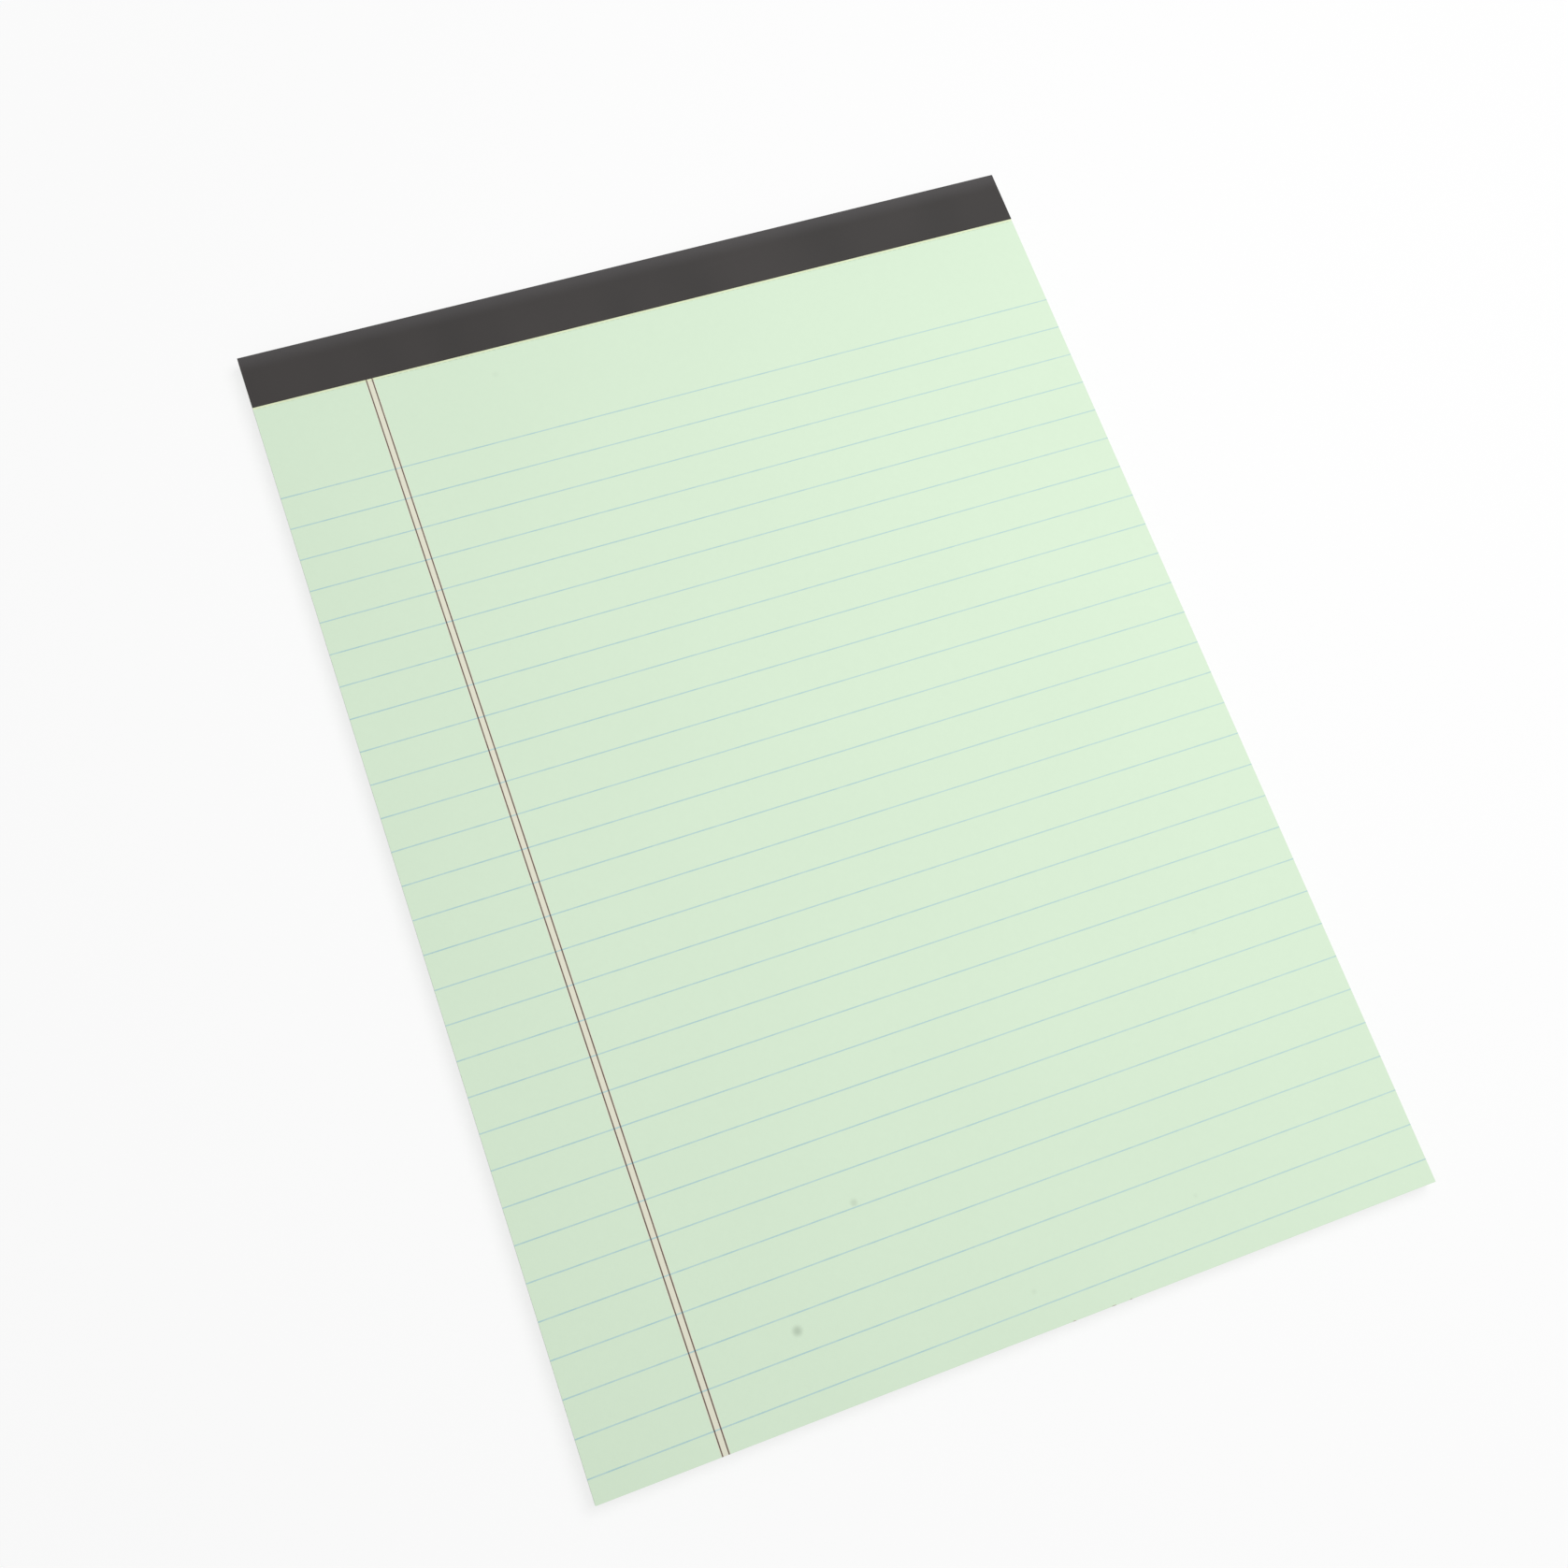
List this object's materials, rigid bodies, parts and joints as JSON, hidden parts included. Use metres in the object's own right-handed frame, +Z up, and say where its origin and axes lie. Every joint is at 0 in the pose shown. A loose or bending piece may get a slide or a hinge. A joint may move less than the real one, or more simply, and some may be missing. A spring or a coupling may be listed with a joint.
{
  "type": "legal pad",
  "caption": "Ruled writing pad: pale green sheets on a stiff grey backing board, bound across the head with a folded dark tape, with a double margin line at the left.",
  "frame": {"origin": "middle of the footprint, on the surface that the pad lies on", "axes": "+Z up out of the writing side, +Y towards the taped head, +X to the right of the page"},
  "size_m": [0.216, 0.2986, 0.0053],
  "materials": {
    "pages": "matte",
    "chipboard": "matte",
    "tape": "matte",
    "staple_wire": "satin",
    "blue_ink": "matte",
    "margin_ink": "matte"
  },
  "bodies": {
    "root": {"page_block": "pages", "backing_board": "chipboard", "binding_tape": "tape", "wire_staples": "staple_wire", "blue_rules": "blue_ink", "margin_lines": "margin_ink"}
  },
  "joints": []
}
